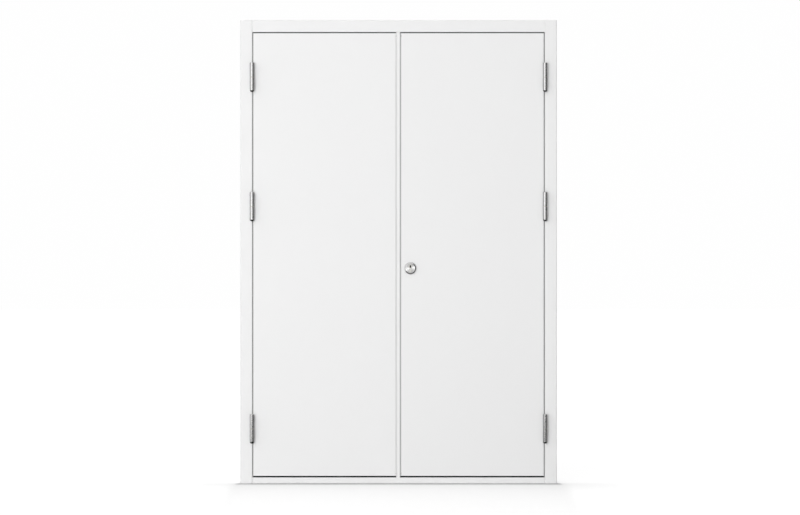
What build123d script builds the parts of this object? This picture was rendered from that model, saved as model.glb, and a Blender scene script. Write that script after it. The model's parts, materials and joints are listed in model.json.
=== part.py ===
from build123d import *
import math
import os

# Double fire door in a pressed-steel frame, in millimetres.
# X runs to the right, Y back into the wall, Z up. The front faces -Y.
# The origin is the centre of the threshold's underside.

os.makedirs("parts", exist_ok=True)

left = -1
right = 1

# Frame
frame_width = 1400.0
frame_height = 2050.0
frame_depth = 100.0
frame_sheet = 1.5
frame_bend = 2.0
frame_edge_bend = 3.0
jamb_face = 52.0
head_face = 53.0
threshold_face = 25.0
stop_width = 18.0
return_lip = 15.0
head_seam_gap = 0.4
threshold_seam_gap = 0.7

# Centre mullion
mullion_face = 13.0
mullion_stop = 18.0
mullion_recess = 1.0

# Gaps round the leaves
jamb_gap = 5.0
head_gap = 5.0
threshold_gap = 7.0
meeting_gap = 5.0
stop_gap = 4.0

# Leaves
leaf_thickness = 45.0
leaf_skin = 1.5
leaf_bevel = 3.0
leaf_edge_round = 1.2

# Seals
seal_running_gap = 1.0
stop_seal_width = 8.0
stop_seal_round = 1.2
mullion_stop_seal_width = 6.0
gap_strip_depth = 7.0
strip_running_gap = 0.6
jamb_strip_inset = 4.0
threshold_strip_inset = 7.0
left_strip_inset = 1.5
right_strip_inset = 3.0

# Hinges
upper_hinge_from_top = 196.0
middle_hinge_from_top = 768.0
lower_hinge_from_bottom = 209.0
barrel_radius = 10.0
barrel_length = 130.0
barrel_foot_round = 8.5
barrel_top_round = 2.5
barrel_stand_off = 11.0
axis_shift = 2.5
pin_radius = 5.0
pin_clearance = 0.05
pin_reach = 45.0
pin_tip_chamfer = 1.0
bore_spare_depth = 3.0
washer_thickness = 2.0
washer_clearance = 0.2
washer_rim = 0.5
hinge_plate = 3.0
hinge_plate_height = 110.0
hinge_plate_depth = 32.0
hinge_plate_round = 4.0
plate_fit = 0.1
reinforcement_thickness = 6.0
reinforcement_margin = 12.0

# Wall fixings
fixing_hole_radius = 5.5
fixing_tube_radius = 9.0
fixing_y = 24.0
fixing_end_inset = 245.0
fixings_per_jamb = 4

# Lock on the right leaf
lock_height = 951.0
lock_backset = 41.0
rose_radius = 27.0
rose_thickness = 8.0
rose_bevel = 3.0
inner_rose_width = 32.0
inner_rose_height = 62.0
inner_rose_thickness = 6.0
inner_rose_bevel = 2.0
cylinder_height = 33.0
cylinder_radius = 8.5
cylinder_foot_width = 10.0
cylinder_stand_out = 1.5
cylinder_fit = 0.3
skin_hole_margin = 2.0
plug_radius = 6.5
plug_clearance = 0.05
plug_length = 28.0
keyway_width = 4.4
keyway_height = 11.0
keyway_depth = 20.0
forend_width = 20.0
forend_length = 235.0
forend_thickness = 3.0
forend_drop = 25.0
bolt_thickness = 12.0
bolt_height = 35.0
bolt_length = 42.0
bolt_above_lock = 45.0
bolt_fit = 0.3
case_depth = 80.0
case_thickness = 16.0
case_above_lock = 90.0
case_below_lock = 60.0
case_seat = 0.3
strike_length = 160.0
strike_width = 20.0
core_fit = 0.5
strike_hole_margin = 1.0

# How far a cutting block reaches past the faces that it cuts
cut_past = 1.0

# Positions that follow from the sizes above
front_y = -frame_depth / 2
back_y = frame_depth / 2
leaf_back_y = front_y + leaf_thickness
stop_y = leaf_back_y + stop_gap
wall_x = frame_width / 2
reveal_x = wall_x - jamb_face
soffit_x = reveal_x - stop_width
mullion_x = mullion_face / 2
mullion_flange_x = mullion_x + mullion_stop
leaf_hinge_x = reveal_x - jamb_gap
leaf_meeting_x = mullion_x + meeting_gap
leaf_bottom = threshold_face + threshold_gap
head_z = frame_height - head_face
leaf_top = head_z - head_gap
threshold_stop_z = threshold_face + stop_width
head_stop_z = head_z - stop_width
hinge_axis_x = reveal_x - jamb_gap / 2 + axis_shift
hinge_axis_y = front_y - barrel_stand_off
knuckle_length = (barrel_length - washer_thickness) / 2
hinge_centres = {
    "upper": leaf_top - upper_hinge_from_top,
    "middle": leaf_top - middle_hinge_from_top,
    "lower": leaf_bottom + lower_hinge_from_bottom,
}
fixing_step = (frame_height - 2 * fixing_end_inset) / (fixings_per_jamb - 1)
fixing_heights = [fixing_end_inset + n * fixing_step for n in range(fixings_per_jamb)]
tray_back_y = leaf_back_y - leaf_skin
inside_bend = frame_bend - frame_sheet
lock_x = leaf_meeting_x + lock_backset
lock_y = front_y + leaf_thickness / 2
circle_above_lock = cylinder_height / 2 - cylinder_radius
foot_below_lock = cylinder_height / 2 - cylinder_foot_width / 2
plug_z = lock_height + circle_above_lock


def meeting_x_at(y):
    # The meeting edge is bevelled, so that its back corner clears the mullion as the leaf swings
    return leaf_meeting_x + leaf_bevel * (y - front_y) / leaf_thickness


def block(x_span, y_span, z_span, mode=Mode.ADD):
    spans = (x_span, y_span, z_span)
    centre = [(low + high) / 2 for low, high in spans]
    with Locations(tuple(centre)):
        Box(*[abs(high - low) for low, high in spans], mode=mode)


def save(piece, name):
    piece.part.label = name
    export_step(piece.part, f"parts/{name}.step")


def folded_section(points, inner_corners, edge_corners=()):
    # A closed outline folded from sheet: round outside corners, tighter inside ones, hollow within
    with BuildSketch() as section:
        with BuildLine():
            Polyline(*points, close=True)
        make_face()
        for corner in points:
            bend = frame_bend
            if corner in inner_corners:
                bend = inside_bend
            if corner in edge_corners:
                bend = frame_edge_bend
            fillet(section.vertices().sort_by_distance(corner)[0], bend)
        offset(amount=-frame_sheet, mode=Mode.SUBTRACT)
    return section.sketch


def jamb(side):
    outline = [
        (side * wall_x, front_y),
        (side * reveal_x, front_y),
        (side * reveal_x, stop_y),
        (side * soffit_x, stop_y),
        (side * soffit_x, back_y),
        (side * wall_x, back_y),
    ]
    hollow_x = (side * (reveal_x + frame_sheet), side * (reveal_x + frame_sheet + reinforcement_thickness))
    with BuildPart() as body:
        with BuildSketch(Plane.XY):
            add(folded_section(outline, [(side * reveal_x, stop_y)], [(side * wall_x, front_y)]))
            with Locations((side * wall_x, 0)):
                Rectangle(3 * frame_sheet, frame_depth - 2 * return_lip, mode=Mode.SUBTRACT)
        extrude(amount=frame_height)
        for height in hinge_centres.values():
            half = hinge_plate_height / 2
            block(
                hollow_x,
                (front_y + frame_sheet, front_y + hinge_plate_depth + reinforcement_margin / 2),
                (height - half - reinforcement_margin, height + half + reinforcement_margin),
            )
            block(
                (side * reveal_x, side * (reveal_x + hinge_plate)),
                (front_y, front_y + hinge_plate_depth + plate_fit),
                (height - half - plate_fit, height + half + plate_fit),
                mode=Mode.SUBTRACT,
            )
        for height in fixing_heights:
            with Locations(Location((side * soffit_x, fixing_y, height), (0, 90, 0))):
                Cylinder(fixing_hole_radius, 4 * frame_sheet, mode=Mode.SUBTRACT)
    return body


def fixing_tubes(side):
    length = wall_x - soffit_x - frame_sheet
    with BuildPart() as tubes:
        for height in fixing_heights:
            with Locations(Location((side * (wall_x - length / 2), fixing_y, height), (0, 90, 0))):
                Cylinder(fixing_tube_radius, length)
                Cylinder(fixing_hole_radius, length, mode=Mode.SUBTRACT)
    return tubes


def cross_rail(points, inner_corner, seam_gap, closed):
    # The head and the threshold sit between the jambs, coped where the jambs' stops stand in
    with BuildPart() as rail:
        with BuildSketch(Plane.YZ):
            add(folded_section(points, [inner_corner]))
            if not closed:
                with Locations((0, frame_height)):
                    Rectangle(frame_depth - 2 * return_lip, 3 * frame_sheet, mode=Mode.SUBTRACT)
        extrude(amount=reveal_x - seam_gap, both=True)
        for side in (left, right):
            block(
                (side * soffit_x, side * (reveal_x + cut_past)),
                (stop_y - inside_bend, back_y + cut_past),
                (-cut_past, frame_height + cut_past),
                mode=Mode.SUBTRACT,
            )
    return rail


def knuckle(side, low, high):
    with Locations((side * hinge_axis_x, hinge_axis_y, low)):
        Cylinder(barrel_radius, high - low, align=(Align.CENTER, Align.CENTER, Align.MIN))


def hinge_plate_block(side, inner_x, outer_x, height):
    half = hinge_plate_height / 2
    block(
        (side * inner_x, side * outer_x),
        (front_y, front_y + hinge_plate_depth),
        (height - half, height + half),
    )


def round_plate_corners(piece):
    middle_y = front_y + hinge_plate_depth / 2
    corners = piece.edges().filter_by(Axis.X).filter_by(lambda edge: edge.center().Y > middle_y)
    fillet(corners, hinge_plate_round)


def hinge_frame_half(side, height):
    foot = height - barrel_length / 2
    seam = foot + knuckle_length
    half = hinge_plate_height / 2
    with BuildPart() as hinge:
        hinge_plate_block(side, reveal_x, reveal_x + hinge_plate, height)
        round_plate_corners(hinge)
        knuckle(side, foot, seam)
        fillet(hinge.edges().filter_by(GeomType.CIRCLE).sort_by(Axis.Z)[0], barrel_foot_round)
        block(
            (side * reveal_x, side * (reveal_x + hinge_plate)),
            (hinge_axis_y, front_y),
            (height - half, seam),
        )
        with Locations((side * hinge_axis_x, hinge_axis_y, seam)):
            Cylinder(pin_radius, pin_reach, align=(Align.CENTER, Align.CENTER, Align.MIN))
        chamfer(hinge.edges().filter_by(GeomType.CIRCLE).sort_by(Axis.Z)[-1], pin_tip_chamfer)
    return hinge


def hinge_leaf_half(side, height):
    top = height + barrel_length / 2
    seam = top - knuckle_length + washer_clearance
    half = hinge_plate_height / 2
    with BuildPart() as hinge:
        hinge_plate_block(side, leaf_hinge_x - hinge_plate, leaf_hinge_x, height)
        round_plate_corners(hinge)
        knuckle(side, seam, top)
        fillet(hinge.edges().filter_by(GeomType.CIRCLE).sort_by(Axis.Z)[-1], barrel_top_round)
        block(
            (side * (leaf_hinge_x - hinge_plate), side * leaf_hinge_x),
            (hinge_axis_y + barrel_radius / 2, front_y),
            (seam, height + half),
        )
        with Locations((side * hinge_axis_x, hinge_axis_y, seam)):
            Cylinder(
                pin_radius + pin_clearance,
                pin_reach + bore_spare_depth,
                align=(Align.CENTER, Align.CENTER, Align.MIN),
                mode=Mode.SUBTRACT,
            )
    return hinge


def hinge_washers(side):
    with BuildPart() as washers:
        for height in hinge_centres.values():
            seam = height - barrel_length / 2 + knuckle_length
            with Locations((side * hinge_axis_x, hinge_axis_y, seam)):
                Cylinder(
                    barrel_radius - washer_rim,
                    washer_thickness,
                    align=(Align.CENTER, Align.CENTER, Align.MIN),
                )
                Cylinder(
                    pin_radius + pin_clearance,
                    washer_thickness,
                    align=(Align.CENTER, Align.CENTER, Align.MIN),
                    mode=Mode.SUBTRACT,
                )
    return washers


def leaf_outline(side, near_y, far_y, hinge_inset=0.0, meeting_inset=0.0):
    # The leaf's plan between two depths, drawn in from its edges by the insets
    with BuildSketch() as outline:
        with BuildLine():
            Polyline(
                (side * (leaf_hinge_x - hinge_inset), near_y),
                (side * (meeting_x_at(near_y) + meeting_inset), near_y),
                (side * (meeting_x_at(far_y) + meeting_inset), far_y),
                (side * (leaf_hinge_x - hinge_inset), far_y),
                close=True,
            )
        make_face()
    return outline.sketch


def leaf_front(side):
    # A pressed tray: the front face with its four edges turned back
    skin_inner_x = leaf_hinge_x - leaf_skin
    with BuildPart() as tray:
        with BuildSketch(Plane.XY.offset(leaf_bottom)):
            add(leaf_outline(side, front_y, tray_back_y))
        extrude(amount=leaf_top - leaf_bottom)
        offset(amount=-leaf_skin, openings=tray.faces().sort_by(Axis.Y)[-1])
        fillet(tray.faces().sort_by(Axis.Y)[0].edges(), leaf_edge_round)
        for height in hinge_centres.values():
            half = hinge_plate_height / 2
            block(
                (side * skin_inner_x, side * (skin_inner_x - reinforcement_thickness)),
                (front_y + leaf_skin, front_y + hinge_plate_depth + reinforcement_margin / 2),
                (height - half - reinforcement_margin, height + half + reinforcement_margin),
            )
            block(
                (side * leaf_hinge_x, side * (leaf_hinge_x - hinge_plate)),
                (front_y, front_y + hinge_plate_depth + plate_fit),
                (height - half - plate_fit, height + half + plate_fit),
                mode=Mode.SUBTRACT,
            )
    return tray


def leaf_back(side):
    with BuildPart() as cover:
        with BuildSketch(Plane.XY.offset(leaf_bottom)):
            add(leaf_outline(side, tray_back_y, leaf_back_y))
        extrude(amount=leaf_top - leaf_bottom)
    return cover


def leaf_core(side):
    # Mineral wool between the two skins, cut round the hinge reinforcements
    with BuildPart() as core:
        with BuildSketch(Plane.XY.offset(leaf_bottom + leaf_skin)):
            add(leaf_outline(side, front_y + leaf_skin, tray_back_y, leaf_skin, 2 * leaf_skin))
        extrude(amount=leaf_top - leaf_bottom - 2 * leaf_skin)
        inner_x = leaf_hinge_x - leaf_skin - reinforcement_thickness - core_fit
        for height in hinge_centres.values():
            reach = hinge_plate_height / 2 + reinforcement_margin + core_fit
            block(
                (side * leaf_hinge_x, side * inner_x),
                (front_y, front_y + hinge_plate_depth + reinforcement_margin / 2 + core_fit),
                (height - reach, height + reach),
                mode=Mode.SUBTRACT,
            )
    return core


def profile_cylinder(margin=0.0):
    # Drawn about the lock's centre: a round top over a narrower round-ended foot
    with BuildSketch() as outline:
        with Locations((0, circle_above_lock)):
            Circle(cylinder_radius + margin)
        with Locations((0, -foot_below_lock)):
            Circle(cylinder_foot_width / 2 + margin)
        with Locations((0, (circle_above_lock - foot_below_lock) / 2)):
            Rectangle(cylinder_foot_width + 2 * margin, circle_above_lock + foot_below_lock)
    return outline.sketch


def lock_plane(y):
    return Plane(origin=(lock_x, y, lock_height), x_dir=(1, 0, 0), z_dir=(0, -1, 0))


def edge_plane(z):
    # On the bevelled meeting edge of the right leaf, at the middle of its thickness, facing the mullion
    tilt = math.atan2(leaf_bevel, leaf_thickness)
    return Plane(
        origin=(meeting_x_at(lock_y), lock_y, z),
        x_dir=(0, 0, 1),
        z_dir=(-math.cos(tilt), math.sin(tilt), 0),
    )


# Fixed frame
save(jamb(left), "left_jamb")
save(jamb(right), "right_jamb")
save(fixing_tubes(left), "left_fixing_tubes")
save(fixing_tubes(right), "right_fixing_tubes")

head_outline = [
    (front_y, frame_height),
    (front_y, head_z),
    (stop_y, head_z),
    (stop_y, head_stop_z),
    (back_y, head_stop_z),
    (back_y, frame_height),
]
save(cross_rail(head_outline, (stop_y, head_z), head_seam_gap, closed=False), "head")

threshold_outline = [
    (front_y, 0),
    (front_y, threshold_face),
    (stop_y, threshold_face),
    (stop_y, threshold_stop_z),
    (back_y, threshold_stop_z),
    (back_y, 0),
]
threshold_rail = cross_rail(threshold_outline, (stop_y, threshold_face), threshold_seam_gap, closed=True)
save(threshold_rail, "threshold")

mullion_outline = [
    (-mullion_x, front_y + mullion_recess),
    (mullion_x, front_y + mullion_recess),
    (mullion_x, stop_y),
    (mullion_flange_x, stop_y),
    (mullion_flange_x, back_y),
    (-mullion_flange_x, back_y),
    (-mullion_flange_x, stop_y),
    (-mullion_x, stop_y),
]
bolt_z = lock_height + bolt_above_lock
strike_plane = Plane(origin=(mullion_x, lock_y, bolt_z), x_dir=(0, 0, 1), z_dir=(1, 0, 0))

with BuildPart() as centre_mullion:
    with BuildSketch(Plane.XY.offset(threshold_face)):
        add(folded_section(mullion_outline, [(-mullion_x, stop_y), (mullion_x, stop_y)]))
    extrude(amount=head_z - threshold_face)
    for low, high in ((threshold_face, threshold_stop_z), (head_stop_z, head_z)):
        block(
            (-mullion_flange_x - cut_past, mullion_flange_x + cut_past),
            (stop_y - inside_bend, back_y + cut_past),
            (low, high),
            mode=Mode.SUBTRACT,
        )
    with BuildSketch(strike_plane):
        Rectangle(strike_length + 2 * plate_fit, strike_width + 2 * plate_fit)
    extrude(amount=-frame_sheet, mode=Mode.SUBTRACT)
save(centre_mullion, "centre_mullion")

with BuildPart() as strike_plate:
    with BuildSketch(strike_plane):
        Rectangle(strike_length, strike_width)
        Rectangle(
            bolt_height + 2 * strike_hole_margin,
            bolt_thickness + 2 * strike_hole_margin,
            mode=Mode.SUBTRACT,
        )
    extrude(amount=-frame_sheet)
save(strike_plate, "strike_plate")

# Seals on the stops
stop_seal_y = (stop_y - stop_gap + seal_running_gap, stop_y)
jamb_seal_middle = (soffit_x + leaf_hinge_x) / 2
mullion_seal_middle = (mullion_flange_x + meeting_x_at(leaf_back_y)) / 2
head_seal_middle = (head_stop_z + leaf_top) / 2
threshold_seal_middle = (threshold_stop_z + leaf_bottom) / 2


def seal_span(middle, width, side=1):
    return (side * (middle - width / 2), side * (middle + width / 2))


def round_seal_lip(seal):
    fillet(seal.faces().group_by(Axis.Y)[0].edges(), stop_seal_round)


with BuildPart() as jamb_stop_seals:
    for side in (left, right):
        block(
            seal_span(jamb_seal_middle, stop_seal_width, side),
            stop_seal_y,
            (threshold_face + inside_bend, head_z - inside_bend),
        )
    round_seal_lip(jamb_stop_seals)
save(jamb_stop_seals, "jamb_stop_seals")

with BuildPart() as mullion_stop_seals:
    for side in (left, right):
        block(
            seal_span(mullion_seal_middle, mullion_stop_seal_width, side),
            stop_seal_y,
            (threshold_stop_z, head_stop_z),
        )
    round_seal_lip(mullion_stop_seals)
save(mullion_stop_seals, "mullion_stop_seals")

cross_seal_ends = (
    mullion_x + seal_running_gap,
    jamb_seal_middle - stop_seal_width / 2 - seal_running_gap / 2,
)
for name, middle in (("head", head_seal_middle), ("threshold", threshold_seal_middle)):
    with BuildPart() as cross_seals:
        for side in (left, right):
            block(
                (side * cross_seal_ends[0], side * cross_seal_ends[1]),
                stop_seal_y,
                seal_span(middle, stop_seal_width),
            )
        round_seal_lip(cross_seals)
    save(cross_seals, f"{name}_stop_seals")

# Fire strips in the gaps round the leaves
jamb_strip = jamb_gap - strip_running_gap
head_strip = head_gap - strip_running_gap
threshold_strip = threshold_gap - strip_running_gap
meeting_strip = meeting_gap - strip_running_gap


def strip_span(inset):
    return (front_y + inset, front_y + inset + gap_strip_depth)


with BuildPart() as jamb_fire_strips:
    for side in (left, right):
        block(
            (side * reveal_x, side * (reveal_x - jamb_strip)),
            strip_span(jamb_strip_inset),
            (threshold_face, head_z),
        )
save(jamb_fire_strips, "jamb_fire_strips")

# The left meeting strip runs the full height between head and threshold, and the others stop at it
cross_strip_spans = (
    (jamb_strip - reveal_x, -mullion_x - meeting_strip),
    (mullion_x, reveal_x - jamb_strip),
)
with BuildPart() as head_fire_strips:
    for span in cross_strip_spans:
        block(
            span,
            strip_span(jamb_strip_inset),
            (head_z - head_strip, head_z),
        )
save(head_fire_strips, "head_fire_strips")

with BuildPart() as threshold_fire_strips:
    for span in cross_strip_spans:
        block(
            span,
            strip_span(threshold_strip_inset),
            (threshold_face, threshold_face + threshold_strip),
        )
save(threshold_fire_strips, "threshold_fire_strips")

with BuildPart() as left_meeting_strip:
    block(
        (-mullion_x, -mullion_x - meeting_strip),
        strip_span(left_strip_inset),
        (threshold_face, head_z),
    )
save(left_meeting_strip, "left_meeting_strip")

with BuildPart() as right_meeting_strip:
    block(
        (mullion_x, mullion_x + meeting_strip),
        strip_span(right_strip_inset),
        (threshold_face + threshold_strip, head_z - head_strip),
    )
save(right_meeting_strip, "right_meeting_strip")

# Hinges
for side_name, side in (("left", left), ("right", right)):
    for place, height in hinge_centres.items():
        save(hinge_frame_half(side, height), f"{side_name}_{place}_hinge_frame_half")
        save(hinge_leaf_half(side, height), f"{side_name}_{place}_hinge_leaf_half")
    save(hinge_washers(side), f"{side_name}_hinge_washers")

# Left leaf
save(leaf_front(left), "left_leaf_front")
save(leaf_back(left), "left_leaf_back")
save(leaf_core(left), "left_leaf_core")

# Right leaf, with its lock
case_x = meeting_x_at(lock_y + forend_width / 2) + forend_thickness + case_seat
case_spans = (
    (case_x, case_x + case_depth),
    (lock_y - case_thickness / 2, lock_y + case_thickness / 2),
    (lock_height - case_below_lock, lock_height + case_above_lock),
)
forend_z = lock_height + forend_drop

with BuildPart() as right_leaf_front:
    add(leaf_front(right).part)
    with BuildSketch(edge_plane(forend_z)):
        Rectangle(forend_length + 2 * plate_fit, forend_width + 2 * plate_fit)
    extrude(amount=-forend_thickness, mode=Mode.SUBTRACT)
    with BuildSketch(lock_plane(front_y)):
        add(profile_cylinder(skin_hole_margin))
    extrude(amount=-2 * leaf_skin, mode=Mode.SUBTRACT)
save(right_leaf_front, "right_leaf_front")

with BuildPart() as right_leaf_back:
    add(leaf_back(right).part)
    with BuildSketch(lock_plane(leaf_back_y)):
        add(profile_cylinder(skin_hole_margin))
    extrude(amount=-2 * leaf_skin, both=True, mode=Mode.SUBTRACT)
save(right_leaf_back, "right_leaf_back")

with BuildPart() as right_leaf_core:
    add(leaf_core(right).part)
    (near_x, far_x), (near_y, far_y), (low_z, high_z) = case_spans
    block(
        (near_x - core_fit, far_x + core_fit),
        (near_y - core_fit, far_y + core_fit),
        (low_z - core_fit, high_z + core_fit),
        mode=Mode.SUBTRACT,
    )
    block(
        (leaf_meeting_x, near_x),
        (lock_y - forend_width / 2 - core_fit, lock_y + forend_width / 2 + core_fit),
        (forend_z - forend_length / 2 - core_fit, forend_z + forend_length / 2 + core_fit),
        mode=Mode.SUBTRACT,
    )
    with BuildSketch(lock_plane(lock_y)):
        add(profile_cylinder(skin_hole_margin))
    extrude(amount=leaf_thickness, both=True, mode=Mode.SUBTRACT)
save(right_leaf_core, "right_leaf_core")

with BuildPart() as lock_case:
    block(*case_spans)
    block(
        (leaf_meeting_x, meeting_x_at(lock_y) + bolt_length + bolt_fit),
        (lock_y - bolt_thickness / 2 - bolt_fit, lock_y + bolt_thickness / 2 + bolt_fit),
        (bolt_z - bolt_height / 2 - bolt_fit, bolt_z + bolt_height / 2 + bolt_fit),
        mode=Mode.SUBTRACT,
    )
    with BuildSketch(lock_plane(lock_y)):
        add(profile_cylinder(cylinder_fit))
    extrude(amount=case_thickness, both=True, mode=Mode.SUBTRACT)
save(lock_case, "lock_case")

with BuildPart() as lock_forend:
    with BuildSketch(edge_plane(forend_z)):
        Rectangle(forend_length, forend_width)
    extrude(amount=-forend_thickness)
    with BuildSketch(edge_plane(bolt_z)):
        Rectangle(bolt_height + 2 * bolt_fit, bolt_thickness + 2 * bolt_fit)
    extrude(amount=-2 * forend_thickness, both=True, mode=Mode.SUBTRACT)
save(lock_forend, "lock_forend")

with BuildPart() as lock_bolt:
    block(
        (meeting_x_at(lock_y + bolt_thickness / 2), meeting_x_at(lock_y) + bolt_length),
        (lock_y - bolt_thickness / 2, lock_y + bolt_thickness / 2),
        (bolt_z - bolt_height / 2, bolt_z + bolt_height / 2),
    )
save(lock_bolt, "lock_bolt")

with BuildPart() as outer_rose:
    with BuildSketch(lock_plane(front_y)):
        Circle(rose_radius)
    extrude(amount=rose_thickness)
    chamfer(outer_rose.edges().filter_by(GeomType.CIRCLE).sort_by(Axis.Y)[0], rose_bevel)
    with BuildSketch(lock_plane(front_y)):
        add(profile_cylinder(cylinder_fit))
    extrude(amount=rose_thickness, mode=Mode.SUBTRACT)
save(outer_rose, "outer_rose")

with BuildPart() as inner_rose:
    with BuildSketch(lock_plane(leaf_back_y)):
        SlotOverall(inner_rose_height, inner_rose_width, rotation=90)
    extrude(amount=-inner_rose_thickness)
    chamfer(inner_rose.faces().sort_by(Axis.Y)[-1].edges(), inner_rose_bevel)
    with BuildSketch(lock_plane(leaf_back_y)):
        add(profile_cylinder(cylinder_fit))
    extrude(amount=-inner_rose_thickness, mode=Mode.SUBTRACT)
save(inner_rose, "inner_rose")

cylinder_front_y = front_y - rose_thickness - cylinder_stand_out
cylinder_back_y = leaf_back_y + inner_rose_thickness + cylinder_stand_out
plug_plane = Plane(origin=(lock_x, cylinder_front_y, plug_z), x_dir=(1, 0, 0), z_dir=(0, -1, 0))

with BuildPart() as lock_cylinder:
    with BuildSketch(lock_plane(cylinder_front_y)):
        add(profile_cylinder())
    extrude(amount=cylinder_front_y - cylinder_back_y)
    with BuildSketch(plug_plane):
        Circle(plug_radius + plug_clearance)
    extrude(amount=-plug_length - cylinder_fit, mode=Mode.SUBTRACT)
save(lock_cylinder, "lock_cylinder")

with BuildPart() as lock_plug:
    with BuildSketch(plug_plane):
        Circle(plug_radius)
    extrude(amount=-plug_length)
    with BuildSketch(plug_plane):
        SlotOverall(keyway_height, keyway_width, rotation=90)
    extrude(amount=-keyway_depth, mode=Mode.SUBTRACT)
save(lock_plug, "lock_plug")
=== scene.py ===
import json
import math
import bmesh
import bpy
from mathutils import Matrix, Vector


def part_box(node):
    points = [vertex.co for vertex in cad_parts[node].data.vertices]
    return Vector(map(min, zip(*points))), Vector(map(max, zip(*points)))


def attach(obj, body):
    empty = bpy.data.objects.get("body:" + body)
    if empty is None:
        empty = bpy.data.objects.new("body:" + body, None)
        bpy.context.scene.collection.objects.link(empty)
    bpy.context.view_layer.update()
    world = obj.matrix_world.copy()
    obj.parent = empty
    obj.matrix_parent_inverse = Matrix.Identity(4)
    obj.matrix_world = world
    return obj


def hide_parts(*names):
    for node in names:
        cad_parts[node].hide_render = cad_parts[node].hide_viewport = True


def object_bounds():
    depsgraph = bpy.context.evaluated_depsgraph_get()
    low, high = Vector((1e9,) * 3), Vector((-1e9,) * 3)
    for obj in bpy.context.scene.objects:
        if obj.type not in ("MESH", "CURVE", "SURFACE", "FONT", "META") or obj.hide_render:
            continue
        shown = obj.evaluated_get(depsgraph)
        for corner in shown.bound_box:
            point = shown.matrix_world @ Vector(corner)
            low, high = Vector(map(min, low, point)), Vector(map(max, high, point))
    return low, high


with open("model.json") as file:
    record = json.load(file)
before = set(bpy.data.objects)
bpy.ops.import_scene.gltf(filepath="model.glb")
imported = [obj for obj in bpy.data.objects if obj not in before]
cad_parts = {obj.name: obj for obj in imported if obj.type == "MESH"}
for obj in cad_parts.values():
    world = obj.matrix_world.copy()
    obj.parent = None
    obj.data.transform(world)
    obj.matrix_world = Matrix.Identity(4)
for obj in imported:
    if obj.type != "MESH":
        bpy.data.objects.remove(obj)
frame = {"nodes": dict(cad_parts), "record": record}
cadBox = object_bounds()
cadNodes = frame["nodes"]
record = frame["record"]
print("frame loaded,", len(cadNodes), "nodes")

# Shader groups: effects that several finishes share

effectSettings = {
    "peelDetail": 2.0,
    "driftDetail": 3.0,
    "lineDetail": 3.0,
    "smudgeDetail": 3.0,
    "smudgeScale": 60.0,
}


def socketGroup(name, inputs, outputs):
    group = bpy.data.node_groups.new(name, "ShaderNodeTree")
    for label, kind, value in inputs:
        socket = group.interface.new_socket(label, in_out="INPUT", socket_type=kind)
        if value is not None:
            socket.default_value = value
    for label, kind in outputs:
        group.interface.new_socket(label, in_out="OUTPUT", socket_type=kind)
    start = group.nodes.new("NodeGroupInput")
    end = group.nodes.new("NodeGroupOutput")
    return group, start, end


def mathNode(tree, operation, first, second=0.0):
    node = tree.nodes.new("ShaderNodeMath")
    node.operation = operation
    for socket, value in zip(node.inputs, (first, second)):
        if isinstance(value, (int, float)):
            socket.default_value = value
        else:
            tree.links.new(value, socket)
    return node.outputs[0]


def noiseNode(tree, vector, scale, detail):
    node = tree.nodes.new("ShaderNodeTexNoise")
    node.inputs["Detail"].default_value = effectSettings[detail]
    tree.links.new(vector, node.inputs["Vector"])
    if isinstance(scale, (int, float)):
        node.inputs["Scale"].default_value = scale
    else:
        tree.links.new(scale, node.inputs["Scale"])
    return node.outputs["Fac"]


def makeOrangePeel():
    # The fine skin of a sprayed or powder coat, with a slow unevenness over it
    group, start, end = socketGroup(
        "orangePeel",
        [
            ("Vector", "NodeSocketVector", None),
            ("Peel Scale", "NodeSocketFloat", 500.0),
            ("Drift Scale", "NodeSocketFloat", 4.0),
        ],
        [("Height", "NodeSocketFloat"), ("Drift", "NodeSocketFloat")],
    )
    vector = start.outputs["Vector"]
    peel = noiseNode(group, vector, start.outputs["Peel Scale"], "peelDetail")
    drift = noiseNode(group, vector, start.outputs["Drift Scale"], "driftDetail")
    group.links.new(peel, end.inputs["Height"])
    group.links.new(drift, end.inputs["Drift"])
    return group


def makeBrushGrain():
    # Long fine lines along one axis, as left by a belt or a lathe
    group, start, end = socketGroup(
        "brushGrain",
        [
            ("Vector", "NodeSocketVector", None),
            ("Stretch", "NodeSocketVector", (900.0, 900.0, 30.0)),
        ],
        [("Grain", "NodeSocketFloat"), ("Smudge", "NodeSocketFloat")],
    )
    stretched = group.nodes.new("ShaderNodeVectorMath")
    stretched.operation = "MULTIPLY"
    group.links.new(start.outputs["Vector"], stretched.inputs[0])
    group.links.new(start.outputs["Stretch"], stretched.inputs[1])
    lines = noiseNode(group, stretched.outputs[0], 1.0, "lineDetail")
    smudgeScale = effectSettings["smudgeScale"]
    smudge = noiseNode(group, start.outputs["Vector"], smudgeScale, "smudgeDetail")
    group.links.new(lines, end.inputs["Grain"])
    group.links.new(smudge, end.inputs["Smudge"])
    return group


orangePeel = makeOrangePeel()
brushGrain = makeBrushGrain()
print("shader groups made")

# Materials

# A noise texture's values lie mostly between these two
noiseSpread = (0.3, 0.7)


def startMaterial(name, metallic):
    material = bpy.data.materials.new(name)
    material.use_nodes = True
    tree = material.node_tree
    shader = tree.nodes["Principled BSDF"]
    shader.inputs["Metallic"].default_value = metallic
    coordinates = tree.nodes.new("ShaderNodeTexCoord").outputs["Object"]
    return material, tree, shader, coordinates


def placeGroup(tree, group, coordinates, values):
    node = tree.nodes.new("ShaderNodeGroup")
    node.node_tree = group
    tree.links.new(coordinates, node.inputs["Vector"])
    for label, value in values.items():
        node.inputs[label].default_value = value
    return node


def splitAxes(tree, vector):
    node = tree.nodes.new("ShaderNodeSeparateXYZ")
    tree.links.new(vector, node.inputs[0])
    return node.outputs


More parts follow.
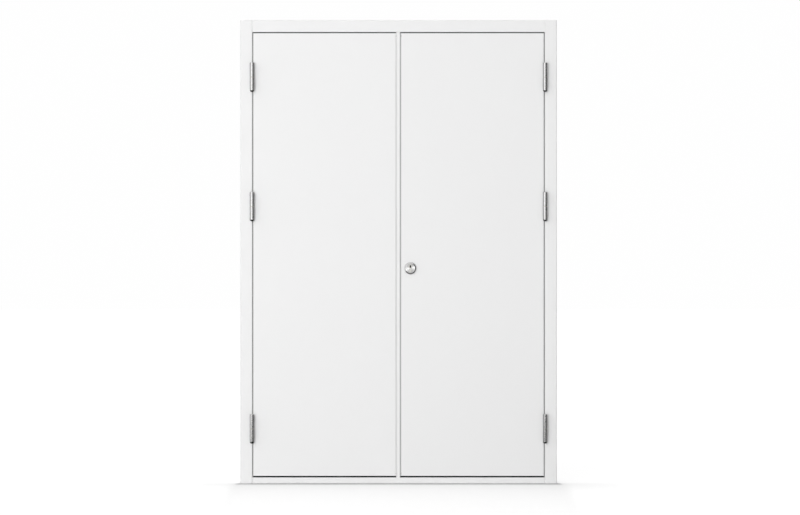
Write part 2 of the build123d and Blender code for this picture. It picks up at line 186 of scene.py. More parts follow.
def easedStep(tree, value, low, high):
    step = tree.nodes.new("ShaderNodeMapRange")
    step.interpolation_type = "SMOOTHSTEP"
    step.inputs["From Min"].default_value = low
    step.inputs["From Max"].default_value = high
    tree.links.new(value, step.inputs["Value"])
    return step.outputs["Result"]


def roughnessInto(tree, source, low, high, shader):
    node = tree.nodes.new("ShaderNodeMapRange")
    node.inputs["From Min"].default_value, node.inputs["From Max"].default_value = noiseSpread
    node.inputs["To Min"].default_value = low
    node.inputs["To Max"].default_value = high
    tree.links.new(source, node.inputs["Value"])
    tree.links.new(node.outputs["Result"], shader.inputs["Roughness"])


def blendInto(tree, factor, socket):
    # Feeds the socket from a blend of two colours, and returns their sockets
    node = tree.nodes.new("ShaderNodeMix")
    node.data_type = "RGBA"
    tree.links.new(factor, node.inputs["Factor"])
    tree.links.new(node.outputs["Result"], socket)
    return node.inputs["A"], node.inputs["B"]


def tintInto(tree, source, dark, light, socket):
    first, second = blendInto(tree, source, socket)
    first.default_value = (*dark, 1)
    second.default_value = (*light, 1)


def bumpInto(tree, height, strength, distance, shader):
    node = tree.nodes.new("ShaderNodeBump")
    node.inputs["Strength"].default_value = strength
    node.inputs["Distance"].default_value = distance
    tree.links.new(height, node.inputs["Height"])
    tree.links.new(node.outputs["Normal"], shader.inputs["Normal"])


def coatMaterial(name, look):
    material, tree, shader, coordinates = startMaterial(name, 0.0)
    scales = {"Peel Scale": look["peelScale"], "Drift Scale": look["driftScale"]}
    peel = placeGroup(tree, orangePeel, coordinates, scales)
    drift = peel.outputs["Drift"]
    colour = shader.inputs["Base Color"]
    if "arrisShadeTone" in look:
        # Painted shade: the coat is darker along the frame's outer folds
        outward = mathNode(tree, "ABSOLUTE", splitAxes(tree, coordinates)["X"])
        inward = mathNode(tree, "SUBTRACT", cadBox[1].x, outward)
        arrisShade, colour = blendInto(tree, easedStep(tree, inward, *look["arrisShadeReach"]), colour)
        arrisShade.default_value = (*look["arrisShadeTone"], 1)
    spread = look["toneSpread"]
    dark, light = ([c * (1 + shift) for c in look["tone"]] for shift in (-spread, spread))
    tintInto(tree, drift, dark, light, colour)
    roughnessInto(tree, drift, *look["roughness"], shader)
    shader.inputs["Specular IOR Level"].default_value = look.get("specular", 0.5)
    bumpInto(tree, peel.outputs["Height"], look["bump"], look["bumpDepth"], shader)
    return material


def grainedMetal(name, look):
    # Bare metal with its brush grain, and the socket that takes its colour
    material, tree, shader, coordinates = startMaterial(name, 1.0)
    grain = placeGroup(tree, brushGrain, coordinates, {"Stretch": look["stretch"]})
    roughnessInto(tree, grain.outputs["Grain"], *look["roughness"], shader)
    if "bump" in look:
        bumpInto(tree, grain.outputs["Grain"], look["bump"], look["bumpDepth"], shader)
    return material, tree, shader, coordinates, grain.outputs["Smudge"]


def metalMaterial(name, look):
    material, tree, shader, _, smudge = grainedMetal(name, look)
    tintInto(tree, smudge, look["dark"], look["light"], shader.inputs["Base Color"])
    return material


def hingeMaterial(name, look, footNodes):
    # Satin steel with painted shade: darker at its sides than in front, and near black at its
    # rounded lower end
    material, tree, shader, coordinates, smudge = grainedMetal(name, look)
    axes = splitAxes(tree, coordinates)
    # Painted shade: near black at the rounded lower ends of the frame halves
    dark = 0.0
    for node in footNodes:
        rise = mathNode(tree, "SUBTRACT", axes["Z"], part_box(node)[0].z)
        clear = easedStep(tree, mathNode(tree, "ABSOLUTE", rise), *look["footShadeReach"])
        dark = mathNode(tree, "MAXIMUM", mathNode(tree, "SUBTRACT", 1.0, clear), dark)
    bright, foot = blendInto(tree, dark, shader.inputs["Base Color"])
    foot.default_value = (*look["foot"], 1)
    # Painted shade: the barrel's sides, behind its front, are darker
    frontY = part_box("left_upper_hinge_leaf_half")[0].y
    depth = mathNode(tree, "SUBTRACT", axes["Y"], frontY)
    front, side = blendInto(tree, easedStep(tree, depth, *look["sideReach"]), bright)
    side.default_value = (*look["side"], 1)
    tintInto(tree, smudge, look["dark"], look["light"], front)
    return material


def turnedMaterial(name, look, node):
    # Grain in rings about the node's middle, in the plane of the door
    material, tree, shader, coordinates, smudge = grainedMetal(name, look)
    low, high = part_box(node)
    middle = (low + high) / 2
    arm = tree.nodes.new("ShaderNodeVectorMath")
    arm.operation = "SUBTRACT"
    tree.links.new(coordinates, arm.inputs[0])
    arm.inputs[1].default_value = middle
    ring = tree.nodes.new("ShaderNodeVectorMath")
    ring.operation = "CROSS_PRODUCT"
    tree.links.new(arm.outputs[0], ring.inputs[0])
    ring.inputs[1].default_value = (0, 1, 0)
    turned = tree.nodes.new("ShaderNodeVectorTransform")
    turned.vector_type = "VECTOR"
    turned.convert_from = "OBJECT"
    turned.convert_to = "WORLD"
    tree.links.new(ring.outputs[0], turned.inputs[0])
    tree.links.new(turned.outputs[0], shader.inputs["Tangent"])
    shader.inputs["Anisotropic"].default_value = look["anisotropy"]
    shader.inputs["Anisotropic Rotation"].default_value = look["turn"]
    tintInto(tree, smudge, look["dark"], look["light"], shader.inputs["Base Color"])
    return material


def plugMaterial(name, look):
    # Bright in front, with painted shade: black inside the keyway and in a band beside it
    material, tree, shader, coordinates, smudge = grainedMetal(name, look)
    axes = splitAxes(tree, coordinates)
    shader.inputs["Specular IOR Level"].default_value = look["specular"]
    low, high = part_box("lock_plug")
    middle = (low + high) / 2
    # Painted shade in a band beside the keyway, and inside it past a small depth
    smearShade = look["smearShade"]
    for axis, centre, reach in (("X", middle.x, "smearShadeWidth"), ("Z", middle.z, "smearShadeHeight")):
        beside = mathNode(tree, "ABSOLUTE", mathNode(tree, "SUBTRACT", axes[axis], centre))
        near = mathNode(tree, "SUBTRACT", 1.0, easedStep(tree, beside, *look[reach]))
        smearShade = mathNode(tree, "MULTIPLY", near, smearShade)
    depth = mathNode(tree, "SUBTRACT", axes["Y"], low.y)
    keywayShadeMask = mathNode(tree, "MAXIMUM", easedStep(tree, depth, *look["keywayDepth"]), smearShade)
    bright, keywayShade = blendInto(tree, keywayShadeMask, shader.inputs["Base Color"])
    keywayShade.default_value = (*look["keywayShade"], 1)
    tintInto(tree, smudge, look["dark"], look["light"], bright)
    tree.links.new(mathNode(tree, "SUBTRACT", 1.0, keywayShadeMask), shader.inputs["Metallic"])
    return material


def grey(tone):
    return (tone, tone, tone)


whiteCoat = {
    "tone": grey(0.87),
    "toneSpread": 0.004,
    # Painted shade along the frame's outer folds
    "arrisShadeTone": grey(0.68),
    "arrisShadeReach": (0.0014, 0.0032),
    "peelScale": 620.0,
    "driftScale": 3.0,
    "roughness": (0.4, 0.46),
    "bump": 0.22,
    "bumpDepth": 0.00008,
}
stripCoat = {
    "peelScale": 800.0,
    "driftScale": 12.0,
    "roughness": (0.5, 0.7),
    "bump": 0.3,
    "bumpDepth": 0.0001,
}
finishes = {
    "whiteCoat": coatMaterial("whiteCoat", whiteCoat),
    "satinSteel": hingeMaterial(
        "satinSteel",
        {
            "dark": (0.76, 0.76, 0.757),
            "light": (0.88, 0.88, 0.877),
            # Painted shade: darker barrel sides and near black rounded lower ends
            "side": grey(0.38),
            "sideReach": (0.0003, 0.0028),
            "foot": grey(0.06),
            "footShadeReach": (0.0045, 0.009),
            "stretch": (1400.0, 1400.0, 40.0),
            "roughness": (0.2, 0.3),
            "bump": 0.25,
            "bumpDepth": 0.00004,
        },
        [f"left_{place}_hinge_frame_half" for place in ("upper", "middle", "lower")],
    ),
    "zincSteel": metalMaterial(
        "zincSteel",
        {
            "dark": (0.5, 0.51, 0.52),
            "light": (0.68, 0.69, 0.7),
            "stretch": (300.0, 300.0, 260.0),
            "roughness": (0.3, 0.5),
            "bump": 0.15,
            "bumpDepth": 0.00004,
        },
    ),
    "roseFace": turnedMaterial(
        "roseFace",
        {
            "dark": (0.6, 0.6, 0.595),
            "light": (0.72, 0.72, 0.715),
            "stretch": (700.0, 700.0, 700.0),
            "roughness": (0.4, 0.48),
            "anisotropy": 0.8,
            "turn": 0.25,
        },
        "outer_rose",
    ),
    "roseRim": metalMaterial(
        "roseRim",
        {
            "dark": (0.56, 0.56, 0.556),
            "light": (0.66, 0.66, 0.656),
            "stretch": (500.0, 500.0, 500.0),
            "roughness": (0.08, 0.16),
            "bump": 0.05,
            "bumpDepth": 0.00002,
        },
    ),
    "brightSteel": metalMaterial(
        "brightSteel",
        {
            "dark": (0.6, 0.6, 0.596),
            "light": (0.72, 0.72, 0.716),
            "stretch": (60.0, 1600.0, 1600.0),
            "roughness": (0.18, 0.28),
            "bump": 0.15,
            "bumpDepth": 0.00003,
        },
    ),
    "nickel": metalMaterial(
        "nickel",
        {
            "dark": (0.6, 0.59, 0.56),
            "light": (0.74, 0.73, 0.7),
            "stretch": (900.0, 60.0, 900.0),
            "roughness": (0.2, 0.32),
            "bump": 0.15,
            "bumpDepth": 0.00003,
        },
    ),
    "plugNickel": plugMaterial(
        "plugNickel",
        {
            "dark": (0.6, 0.59, 0.56),
            "light": (0.74, 0.73, 0.7),
            # Painted shade in and beside the keyway
            "keywayShade": grey(0.004),
            "keywayDepth": (0.0002, 0.0006),
            "smearShade": 0.9,
            "smearShadeWidth": (0.0024, 0.0042),
            "smearShadeHeight": (0.0052, 0.0062),
            "specular": 0.1,
            "stretch": (900.0, 900.0, 900.0),
            "roughness": (0.2, 0.32),
        },
    ),
    "washerMetal": metalMaterial(
        "washerMetal",
        {
            "dark": (0.4, 0.38, 0.33),
            "light": (0.54, 0.51, 0.45),
            "stretch": (900.0, 900.0, 900.0),
            "roughness": (0.3, 0.45),
            "bump": 0.1,
            "bumpDepth": 0.00003,
        },
    ),
    "blackRubber": coatMaterial(
        "blackRubber",
        {
            "tone": grey(0.006),
            "toneSpread": 0.25,
            "specular": 0.1,
            "peelScale": 900.0,
            "driftScale": 20.0,
            "roughness": (0.55, 0.75),
            "bump": 0.3,
            "bumpDepth": 0.0001,
        },
    ),
    "darkStrip": coatMaterial(
        "darkStrip", {**stripCoat, "tone": grey(0.05), "toneSpread": 0.1}
    ),
    "greyStrip": coatMaterial(
        "greyStrip", {**stripCoat, "tone": grey(0.3), "toneSpread": 0.1}
    ),
    "paleStrip": coatMaterial(
        "paleStrip", {**stripCoat, "tone": grey(0.45), "toneSpread": 0.06}
    ),
    "whiteStrip": coatMaterial(
        "whiteStrip", {**stripCoat, "tone": grey(0.8), "toneSpread": 0.02, "bump": 0.25}
    ),
    "mineralWool": coatMaterial(
        "mineralWool",
        {
            "tone": (0.42, 0.36, 0.18),
            "toneSpread": 0.3,
            "peelScale": 350.0,
            "driftScale": 40.0,
            "roughness": (0.8, 0.95),
            "bump": 0.8,
            "bumpDepth": 0.001,
        },
    ),
}

finishOfSlot = {
    "white_steel": "whiteCoat",
    "satin_steel": "satinSteel",
    "zinc_steel": "zincSteel",
    "bright_steel": "brightSteel",
    "nickel": "nickel",
    "brass_washer": "washerMetal",
    "black_seal": "blackRubber",
    "dark_strip": "darkStrip",
    "grey_strip": "greyStrip",
    "white_strip": "whiteStrip",
    "mineral_wool": "mineralWool",
}
finishOfNode = {"lock_plug": "plugNickel", "right_meeting_strip": "paleStrip"}
for subpart in record["subparts"]:
    name = subpart["node"]
    finish = finishOfNode.get(name, finishOfSlot[subpart["material_slot"]])
    materials = cadNodes[name].data.materials
    materials.clear()
    materials.append(finishes[finish])
print("materials placed")

# Screws and caps, by one Geometry Nodes tree

# Rows are heights from a hinge's middle, depths go back from the frame's face, and the cross is
# in shares of the head's radius and rise
screwSettings = {
    "radius": 0.0042,
    "rise": 0.0006,
    "rows": (-0.042, -0.015, 0.015, 0.042),
    "depths": (0.018, 0.026, 0.026, 0.018),
    "crossHalfWidth": 0.16,
    "crossHalfLength": 0.56,
    "crossDepth": 0.75,
    "crossTaper": 0.8,
    "sides": 28,
    "firstSeed": 12,
}
capSettings = {"radius": 0.0085, "rise": 0.0011, "sides": 32, "seed": 3}
# Shares of the radius and of the rise, from the rim to the crown
headProfile = ((1.0, 0.0), (0.94, 0.55), (0.78, 0.88))


def domedHead(name, sides, cross):
    # A head of radius 1 and rise 1, to be scaled: a shallow dome, with a cross recess if wanted
    mesh = bmesh.new()
    angles = [2 * math.pi * n / sides for n in range(sides)]
    rings = [
        [mesh.verts.new((share * math.cos(a), share * math.sin(a), rise)) for a in angles]
        for share, rise in headProfile
    ]
    for lower, upper in zip(rings, rings[1:]):
        for n in range(sides):
            m = (n + 1) % sides
            mesh.faces.new((lower[n], lower[m], upper[m], upper[n]))
    mesh.faces.new(list(reversed(rings[0])))
    if cross:
        wide, long = screwSettings["crossHalfWidth"], screwSettings["crossHalfLength"]
        arm = [(long, -wide), (long, wide), (wide, wide)]
        outline = arm + [(-y, x) for x, y in arm] + [(-x, -y) for x, y in arm]
        outline += [(y, -x) for x, y in arm]
        taper, low = screwSettings["crossTaper"], 1.0 - screwSettings["crossDepth"]
        top = [mesh.verts.new((x, y, 1.0)) for x, y in outline]
        floor = [mesh.verts.new((taper * x, taper * y, low)) for x, y in outline]
        count = len(outline)
        for n in range(count):
            m = (n + 1) % count
            mesh.faces.new((top[n], floor[n], floor[m], top[m]))
        mesh.faces.new(floor)
        edges = [mesh.edges.get((rings[-1][n], rings[-1][(n + 1) % sides])) for n in range(sides)]
        edges += [mesh.edges.get((top[n], top[(n + 1) % count])) for n in range(count)]
        bmesh.ops.triangle_fill(mesh, use_beauty=True, edges=edges)
    else:
        crown = mesh.verts.new((0, 0, 1.0))
        for n in range(sides):
            mesh.faces.new((rings[-1][n], rings[-1][(n + 1) % sides], crown))
    bmesh.ops.recalc_face_normals(mesh, faces=mesh.faces)
    data = bpy.data.meshes.new(name)
    mesh.to_mesh(data)
    mesh.free()
    return bpy.data.objects.new(name, data)


def makeFastenerTree():
    tree = bpy.data.node_groups.new("fastenerPattern", "GeometryNodeTree")
    for label, kind in (
        ("Places", "NodeSocketGeometry"),
        ("Head", "NodeSocketObject"),
        ("Radius", "NodeSocketFloat"),
        ("Rise", "NodeSocketFloat"),
        ("Seed", "NodeSocketInt"),
        ("Finish", "NodeSocketMaterial"),
    ):
        tree.interface.new_socket(label, in_out="INPUT", socket_type=kind)
    tree.interface.new_socket("Fasteners", in_out="OUTPUT", socket_type="NodeSocketGeometry")
    new, link = tree.nodes.new, tree.links.new
    start, end = new("NodeGroupInput"), new("NodeGroupOutput")
    head = new("GeometryNodeObjectInfo")
    link(start.outputs["Head"], head.inputs["Object"])
    facing = new("GeometryNodeInputNamedAttribute")
    facing.data_type = "FLOAT_VECTOR"
    facing.inputs["Name"].default_value = "facing"
    aim = new("FunctionNodeAlignRotationToVector")
    aim.axis = "Z"
    link(facing.outputs["Attribute"], aim.inputs["Vector"])
    turn = new("FunctionNodeRandomValue")
    turn.inputs["Max"].default_value = math.pi
    link(start.outputs["Seed"], turn.inputs["Seed"])
    spin = new("FunctionNodeAxisAngleToRotation")
    link(turn.outputs["Value"], spin.inputs["Angle"])
    both = new("FunctionNodeRotateRotation")
    both.rotation_space = "LOCAL"
    link(aim.outputs["Rotation"], both.inputs["Rotation"])
    link(spin.outputs["Rotation"], both.inputs["Rotate By"])
    size = new("ShaderNodeCombineXYZ")
    link(start.outputs["Radius"], size.inputs["X"])
    link(start.outputs["Radius"], size.inputs["Y"])
    link(start.outputs["Rise"], size.inputs["Z"])
    scatter = new("GeometryNodeInstanceOnPoints")
    link(start.outputs["Places"], scatter.inputs["Points"])
    link(head.outputs["Geometry"], scatter.inputs["Instance"])
    link(both.outputs["Rotation"], scatter.inputs["Rotation"])
    link(size.outputs["Vector"], scatter.inputs["Scale"])
    realize = new("GeometryNodeRealizeInstances")
    link(scatter.outputs["Instances"], realize.inputs["Geometry"])
    paint = new("GeometryNodeSetMaterial")
    link(realize.outputs["Geometry"], paint.inputs["Geometry"])
    link(start.outputs["Finish"], paint.inputs["Material"])
    link(paint.outputs["Geometry"], end.inputs["Fasteners"])
    return tree


fastenerTree = makeFastenerTree()
screwHead = domedHead("screwHead", screwSettings["sides"], cross=True)
capHead = domedHead("capHead", capSettings["sides"], cross=False)


def fastenerPiece(name, body, finish, head, size, seed, places):
    # places are (position, facing) pairs, and the tree's result becomes one plain mesh on the body
    points = bpy.data.meshes.new(name + "Places")
    points.from_pydata([p for p, _ in places], [], [])
    facing = points.attributes.new("facing", "FLOAT_VECTOR", "POINT")
    facing.data.foreach_set("vector", [c for _, direction in places for c in direction])
    source = bpy.data.objects.new(name + "Source", points)
    bpy.context.scene.collection.objects.link(source)
    modifier = source.modifiers.new("fasteners", "NODES")
    modifier.node_group = fastenerTree
    values = {
        "Head": head,
        "Radius": size["radius"],
        "Rise": size["rise"],
        "Seed": seed,
        "Finish": finishes[finish],
    }
    for item in fastenerTree.interface.items_tree:
        if item.in_out == "INPUT" and item.name in values:
            modifier[item.identifier] = values[item.name]
    bpy.context.view_layer.update()
    evaluated = source.evaluated_get(bpy.context.evaluated_depsgraph_get())
    data = bpy.data.meshes.new_from_object(evaluated)
    source.modifiers.clear()
    bpy.data.objects.remove(source)
    data.name = name
    piece = bpy.data.objects.new(name, data)
    bpy.context.scene.collection.objects.link(piece)
    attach(piece, body)


def hingeScrews(side, onLeaf):
    # On the hinge plates, in the jamb's reveal or on the leaf's edge
    sign = -1 if side == "left" else 1
    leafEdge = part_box(f"{side}_leaf_back")[0 if side == "left" else 1].x
    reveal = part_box("jamb_fire_strips")[1].x * sign
    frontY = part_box(f"{side}_jamb")[0].y
    x, facing = (leafEdge, (sign, 0, 0)) if onLeaf else (reveal, (-sign, 0, 0))
    places = []
    for place in ("upper", "middle", "lower"):
        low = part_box(f"{side}_{place}_hinge_frame_half")[0]
        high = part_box(f"{side}_{place}_hinge_leaf_half")[1]
        middle = (low.z + high.z) / 2
        for rise, depth in zip(screwSettings["rows"], screwSettings["depths"]):
            places.append(((x, frontY + depth, middle + rise), facing))
    return places


screwPieces = (
    ("leftFrameHingeScrews", "frame", "left", False),
    ("leftLeafHingeScrews", "left_leaf", "left", True),
    ("rightFrameHingeScrews", "frame", "right", False),
    ("rightLeafHingeScrews", "right_leaf", "right", True),
)
for seed, (name, body, side, onLeaf) in enumerate(screwPieces, screwSettings["firstSeed"]):
    places = hingeScrews(side, onLeaf)
    fastenerPiece(name, body, "zincSteel", screwHead, screwSettings, seed, places)

capPlaces = []
for mount in record["mounts"]:
    if mount["kind"] == "bolt_pattern":
        x, y, z = mount["pos_m"]
        half = mount["dims"]["spacing_y_mm"] / 1000 / 2
        capPlaces += [((x, y, z - half), mount["axis"]), ((x, y, z + half), mount["axis"])]
fastenerPiece(
    "fixingCaps",
    "frame",
    "whiteStrip",
    capHead,
    capSettings,
    capSettings["seed"],
    capPlaces,
)
print("fasteners made")

# Rose on the outside: a brushed face inside a rounded, polished rim

roseSettings = {
    "rimRound": 0.007,
    "rimSteps": 12,
    "rimSides": 96,
    "joint": 0.0001,
    "footWidth": 0.010,
    "footSteps": 24,
    "topSteps": 40,
    "cylinderFit": 0.0003,
}


def arcPoints(middle, radius, start, stop, steps):
    # (x, z) pairs along an arc in the door's plane
    angles = (start + (stop - start) * n / steps for n in range(steps + 1))
    return [(middle[0] + radius * math.cos(a), middle[1] + radius * math.sin(a)) for a in angles]


def circlePoints(middle, radius):
    return arcPoints(middle, radius, 0, 2 * math.pi, roseSettings["rimSides"])[:-1]


def cylinderOutline(fit):
    # The profile cylinder's outline: a round top over a narrower round-ended foot
    low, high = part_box("lock_cylinder")
    middleX, half = (low.x + high.x) / 2, (high.x - low.x) / 2
    foot = roseSettings["footWidth"] / 2
    bend = math.acos((foot + fit) / (half + fit))
    topSteps, footSteps = roseSettings["topSteps"], roseSettings["footSteps"]
    top = arcPoints((middleX, high.z - half), half + fit, -bend, math.pi + bend, topSteps)
    return top + arcPoints((middleX, low.z + foot), foot + fit, math.pi, 2 * math.pi, footSteps)


def makePlate(outlines, front, back):
    # A flat plate between two depths, bounded by the first outline and cut out by the others
    mesh = bmesh.new()
    levels = [
        [[mesh.verts.new((x, y, z)) for x, z in outline] for outline in outlines]
        for y in (front, back)
    ]
    for loops in levels:
        edges = []
        for loop in loops:
            edges += [mesh.edges.new((loop[n - 1], loop[n])) for n in range(len(loop))]
        bmesh.ops.triangle_fill(mesh, use_beauty=True, edges=edges)
    for near, far in zip(*levels):
        for n in range(len(near)):
            mesh.faces.new((near[n - 1], near[n], far[n], far[n - 1]))
    return mesh


def makeRim(middle, inner, outer, front, back):
    # A ring whose front is a quarter round, turned about the door's depth
    rimRound, steps = roseSettings["rimRound"], roseSettings["rimSteps"]
    profile = [(inner, back), (inner, front)]
    for bend in (math.pi / 2 * n / steps for n in range(steps + 1)):
        radius = outer - rimRound * (1 - math.sin(bend))
        profile.append((radius, front + rimRound * (1 - math.cos(bend))))
    profile.append((outer, back))
    mesh = bmesh.new()
    rings = [
        [mesh.verts.new((x, y, z)) for x, z in circlePoints(middle, radius)]
        for radius, y in profile
    ]
    # Only the quarter round is smooth, and it begins and ends at sharp edges
    last = len(rings) - 1
    for m in range(len(rings)):
        below, above = rings[m - 1], rings[m]
        for n in range(len(above)):
            face = mesh.faces.new((below[n - 1], below[n], above[n], above[n - 1]))
            face.smooth = 2 < m < last
    for m in (0, 1, 2, last - 1, last):
        for n in range(len(rings[m])):
            mesh.edges.get((rings[m][n - 1], rings[m][n])).smooth = False
    return mesh


def finishPiece(name, mesh, finish, body, node):
    bmesh.ops.recalc_face_normals(mesh, faces=mesh.faces)
    data = bpy.data.meshes.new(name)
    mesh.to_mesh(data)
    mesh.free()
    data.materials.append(finishes[finish])
    piece = bpy.data.objects.new(name, data)
    bpy.context.scene.collection.objects.link(piece)
    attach(piece, body)
    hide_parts(node)
    return piece


roseLow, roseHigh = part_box("outer_rose")
roseMiddle = (roseLow + roseHigh) / 2
rosePlace = (roseMiddle.x, roseMiddle.z)
roseRadius = (roseHigh.x - roseLow.x) / 2
faceRadius = roseRadius - roseSettings["rimRound"] - 2 * roseSettings["joint"]
faceOutlines = [circlePoints(rosePlace, faceRadius), cylinderOutline(roseSettings["cylinderFit"])]
roseFace = finishPiece(
    "roseFace",
    makePlate(faceOutlines, roseLow.y, roseHigh.y),
    "roseFace",
    "right_leaf",
    "outer_rose",
)
finishPiece(
    "roseRim",
    makeRim(rosePlace, faceRadius + roseSettings["joint"], roseRadius, roseLow.y, roseHigh.y),
    "roseRim",
    "right_leaf",
    "outer_rose",
)
print("rose made")

# Studio: floor, world, lamps and camera

studio = {
    "floorTone": 0.9,
    # The floor's colour and glow paint a contact shadow under the door's front and lift its other
    # shade
    "contactShadowTone": 0.6,
    "openTone": 0.3,
    "contactShadowReach": (0.03, 0.09),
    "contactShadowSide": 0.028,
    "frontReach": 0.004,
    "nearLift": 0.585,
    "openLift": 0.2,
    "openReach": 0.32,
    "sideLift": 0.1,
    "sideReach": 0.07,
    "shadedLift": 0.22,
    "shadedReach": 0.012,
    "farLift": 0.12,
    "farReach": (0.6, 4.0),
    "mostLift": 0.82,
    "floorSize": 60.0,
    "ambient": 0.65,
    "ambientLean": 0.95,
    "background": 0.995,
}
lamps = {
    "keyLamp": {"place": (-3.3, -8.7, 1.6), "aim": (0.0, 0.0, 1.3), "size": 3.2, "power": 295.0},
    "glintLamp": {"place": (-2.3, -4.0, 0.25), "aim": roseMiddle, "size": 1.0, "power": 108.0},
}


def upright(start, end, low, high):
    # The corners of a card that stands between two (x, y) places
    return [(*start, low), (*end, low), (*end, high), (*start, high)]


def flat(left, right, near, far, height):
    return [(left, near, height), (right, near, height), (right, far, height), (left, far, height)]


# Cards that only the shiny parts see, glowing sheets that make painted reflections: four corners
# and a tone for each
cards = {
    "rightCard": (upright((3.0, -4.0), (3.0, 0.0), 0.0, 6.0), 0.06),
    "rightFrontCard": (upright((0.9, -9.3), (3.0, -4.0), 0.0, 4.0), 0.45),
    "leftCard": (upright((-3.5, 1.0), (-3.5, -4.0), 0.0, 4.0), 0.9),
    "lowCard": (flat(-1.6, 1.0, -3.0, -0.052, 0.01), 0.05),
    "lowRightCard": (flat(1.0, 3.0, -4.0, 0.0, 0.01), 0.12),
    "keyCard": (upright((-4.8, -8.1), (-1.8, -9.3), 0.4, 3.4), 1.6),
}
cameraSettings = {
    "millimetresPerPixel": 4.427,
    "imageWidth": 800,
    "imageHeight": 515,
    "centrePixel": (398.55, 251.6),
    "distance": 9.0,
    "sensorWidth": 36.0,
    "clipEnd": 100.0,
}


def viewMask(tree):
    # 1 for the rays that see the studio, and 0 for those that only carry its light
    path = tree.nodes.new("ShaderNodeLightPath").outputs
    straight = mathNode(tree, "MAXIMUM", path["Is Camera Ray"], path["Is Glossy Ray"])
    return mathNode(tree, "MAXIMUM", straight, path["Is Transmission Ray"])


def makeSheet(name, corners):
    # One flat face with a material of its own, whose tree comes back with it
    data = bpy.data.meshes.new(name)
    data.from_pydata(corners, [], [(0, 1, 2, 3)])
    sheet = bpy.data.objects.new(name, data)
    bpy.context.scene.collection.objects.link(sheet)
    material = bpy.data.materials.new(name)
    material.use_nodes = True
    data.materials.append(material)
    return sheet, material.node_tree


def makeFloor():
    half = studio["floorSize"] / 2
    floor, tree = makeSheet("studioFloor", flat(-half, half, -half, half, 0.0))
    floor.location.z = cadBox[0].z
    shader = tree.nodes["Principled BSDF"]
    shader.inputs["Roughness"].default_value = 1.0
    shader.inputs["Specular IOR Level"].default_value = 0.0
    shader.inputs["Emission Color"].default_value = (1, 1, 1, 1)
    # Distances from the door's foot: ahead of its face, to its side, and from its outline
    axes = splitAxes(tree, tree.nodes.new("ShaderNodeTexCoord").outputs["Object"])
    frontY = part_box("left_jamb")[0].y
    ahead = mathNode(tree, "SUBTRACT", frontY, axes["Y"])
    squares = []
    for axis, reach in (("X", cadBox[1].x), ("Y", -frontY)):
        outside = mathNode(tree, "SUBTRACT", mathNode(tree, "ABSOLUTE", axes[axis]), reach)
        squares.append(mathNode(tree, "POWER", mathNode(tree, "MAXIMUM", outside, 0.0), 2.0))
    aside = mathNode(tree, "SQRT", squares[0])
    away = mathNode(tree, "SQRT", mathNode(tree, "ADD", *squares))
    # Painted shadow: to the camera the floor's colour is darker under the door's front, a painted
    # contact shadow, and the open floor reads as white
    behind = mathNode(tree, "SUBTRACT", 1.0, easedStep(tree, ahead, 0.0, studio["frontReach"]))
    clear = mathNode(
        tree,
        "MAXIMUM",
        easedStep(tree, away, *studio["contactShadowReach"]),
        easedStep(tree, aside, 0.0, studio["contactShadowSide"]),
    )
    clear = mathNode(tree, "MAXIMUM", clear, behind)
    mask = viewMask(tree)
    tone = studio["floorTone"]
    change = mathNode(tree, "MULTIPLY", clear, studio["openTone"] - studio["contactShadowTone"])
    seen = mathNode(tree, "ADD", change, studio["contactShadowTone"] - tone)
    shown = mathNode(tree, "ADD", mathNode(tree, "MULTIPLY", mask, seen), tone)
    tree.links.new(shown, shader.inputs["Base Color"])
    # Painted soft shadow: the glow that the camera sees is smaller near the door's foot and grows
    # away from it
    fade = mathNode(tree, "EXPONENT", mathNode(tree, "DIVIDE", away, -studio["openReach"]))
    # Painted light: extra glow beside the frame, behind its face, fills the key's cast shadow
    # there
    shaded = easedStep(tree, aside, 0.0, studio["shadedReach"])
    lift = 0.0
    for share, amount in (
        (clear, "nearLift"),
        (mathNode(tree, "SUBTRACT", 1.0, fade), "openLift"),
        (easedStep(tree, away, *studio["farReach"]), "farLift"),
        (easedStep(tree, aside, 0.0, studio["sideReach"]), "sideLift"),
        (mathNode(tree, "MULTIPLY", shaded, behind), "shadedLift"),
    ):
        lift = mathNode(tree, "ADD", mathNode(tree, "MULTIPLY", share, studio[amount]), lift)
    # Whiter than white behind the door would wash out the frame's outline
    lift = mathNode(tree, "MINIMUM", lift, studio["mostLift"])
    tree.links.new(mathNode(tree, "MULTIPLY", mask, lift), shader.inputs["Emission Strength"])


def makeCards():
    for name, (corners, tone) in cards.items():
        card, tree = makeSheet(name, corners)
        card.visible_camera = False
        card.visible_diffuse = False
        card.visible_shadow = False
        card.visible_transmission = False
        glow = tree.nodes.new("ShaderNodeEmission")
        glow.inputs["Color"].default_value = (1, 1, 1, 1)
        glow.inputs["Strength"].default_value = tone
        tree.links.new(glow.outputs[0], tree.nodes["Material Output"].inputs["Surface"])


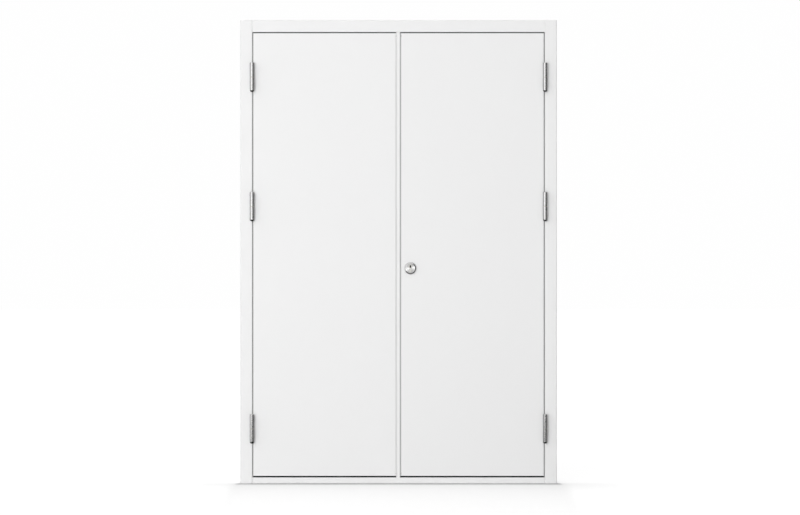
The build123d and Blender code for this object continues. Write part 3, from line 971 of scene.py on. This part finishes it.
def makeWorld():
    world = bpy.data.worlds.new("studioWorld")
    bpy.context.scene.world = world
    world.use_nodes = True
    tree = world.node_tree
    background = tree.nodes["Background"]
    background.inputs["Color"].default_value = (1, 1, 1, 1)
    mask = viewMask(tree)
    # The soft light is stronger from the left, where the key stands
    way = splitAxes(tree, tree.nodes.new("ShaderNodeTexCoord").outputs["Generated"])
    lean = mathNode(tree, "MULTIPLY", way["X"], -studio["ambientLean"] * studio["ambient"])
    soft = mathNode(tree, "ADD", lean, studio["ambient"])
    plain = mathNode(tree, "MULTIPLY", mask, studio["background"])
    hidden = mathNode(tree, "MULTIPLY", mathNode(tree, "SUBTRACT", 1.0, mask), soft)
    tree.links.new(mathNode(tree, "ADD", plain, hidden), background.inputs["Strength"])


def makeLamp(name, parts=()):
    s = lamps[name]
    data = bpy.data.lights.new(name, "AREA")
    data.size = s["size"]
    data.energy = s["power"]
    lamp = bpy.data.objects.new(name, data)
    bpy.context.scene.collection.objects.link(lamp)
    lamp.location = s["place"]
    lamp.rotation_mode = "QUATERNION"
    lamp.rotation_quaternion = (Vector(s["aim"]) - lamp.location).to_track_quat("-Z", "Y")
    if parts:
        # This lamp falls on these parts alone
        chosen = bpy.data.collections.new(name + "Parts")
        for part in parts:
            chosen.objects.link(part)
        lamp.light_linking.receiver_collection = chosen
    else:
        # The shiny parts see the key's card instead, a painted reflection of the key which isn't
        # as fierce
        lamp.visible_glossy = False


def makeCamera():
    s = cameraSettings
    metresPerPixel = s["millimetresPerPixel"] / 1000
    middleX, middleZ = (cadBox[0].x + cadBox[1].x) / 2, (cadBox[0].z + cadBox[1].z) / 2
    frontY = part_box("left_jamb")[0].y
    x = middleX + (s["imageWidth"] / 2 - s["centrePixel"][0]) * metresPerPixel
    z = middleZ - (s["imageHeight"] / 2 - s["centrePixel"][1]) * metresPerPixel
    data = bpy.data.cameras.new("studioCamera")
    data.sensor_width = s["sensorWidth"]
    data.lens = s["sensorWidth"] * s["distance"] / (s["imageWidth"] * metresPerPixel)
    data.clip_end = s["clipEnd"]
    camera = bpy.data.objects.new("studioCamera", data)
    bpy.context.scene.collection.objects.link(camera)
    camera.location = (x, frontY - s["distance"], z)
    camera.rotation_euler = (math.pi / 2, 0, 0)
    bpy.context.scene.camera = camera


makeFloor()
makeCards()
makeWorld()
makeLamp("keyLamp")
makeLamp("glintLamp", (roseFace, cadNodes["lock_cylinder"], cadNodes["lock_plug"]))
makeCamera()
bpy.context.scene.view_settings.view_transform = "Standard"
print("studio made")
